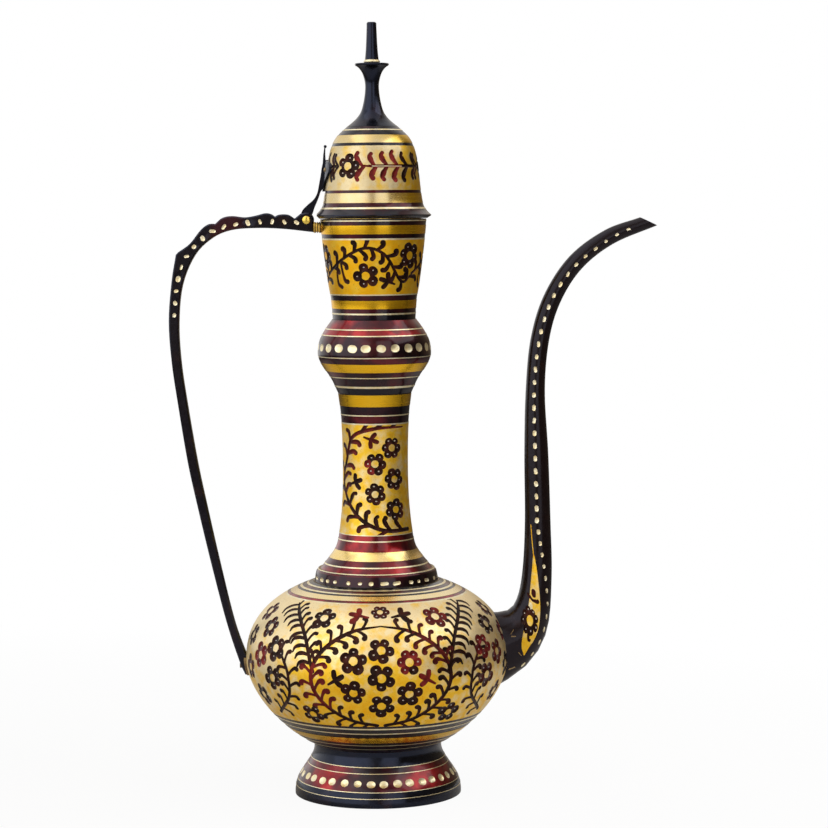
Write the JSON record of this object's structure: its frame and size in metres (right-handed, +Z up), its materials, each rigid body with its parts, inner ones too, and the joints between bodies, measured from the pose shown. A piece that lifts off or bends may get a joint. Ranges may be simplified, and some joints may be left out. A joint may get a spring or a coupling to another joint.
{
  "type": "surahi ewer",
  "caption": "Long-necked brass ewer with a hinged domed lid, lobed side handle and tall curved spout, in dark enamel and engraved floral bands; holds and pours a drink.",
  "frame": {"origin": "centre of the foot's underside, on the vessel's axis", "axes": "+Z up along the vessel's axis, +X towards the spout, handle and lid hinge on the -X side"},
  "size_m": [0.2496, 0.135, 0.395],
  "materials": {
    "enamel": "gloss black-maroon enamel over brass",
    "engraved_brass": "polished lacquered brass with dark enamel bands and engraved flowers",
    "brass": "polished brass",
    "old_brass": "dull tarnished brass"
  },
  "bodies": {
    "vessel": {"foot": "enamel", "body_lower": "engraved_brass", "body_upper": "engraved_brass", "collar": "enamel", "neck_column": "engraved_brass", "neck_knop": "enamel", "neck_cup": "engraved_brass", "spout": "enamel", "handle": "enamel", "handle_stud": "old_brass", "handle_saddle": "old_brass", "handle_rivet": "old_brass", "hinge_pin": "brass"},
    "lid": {"lid_dome": "engraved_brass", "lid_bezel": "brass", "lid_strap": "enamel", "strap_rivets": "old_brass", "finial_stem": "enamel", "finial_ring": "brass", "finial_spike": "enamel", "finial_nut": "old_brass"}
  },
  "joints": [
    {"name": "lid_hinge", "type": "hinge", "parent": "vessel", "child": "lid", "pos_m": [-0.034, 0, 0.2952], "axis": [0, -1, 0], "range_deg": [0, 90]}
  ]
}
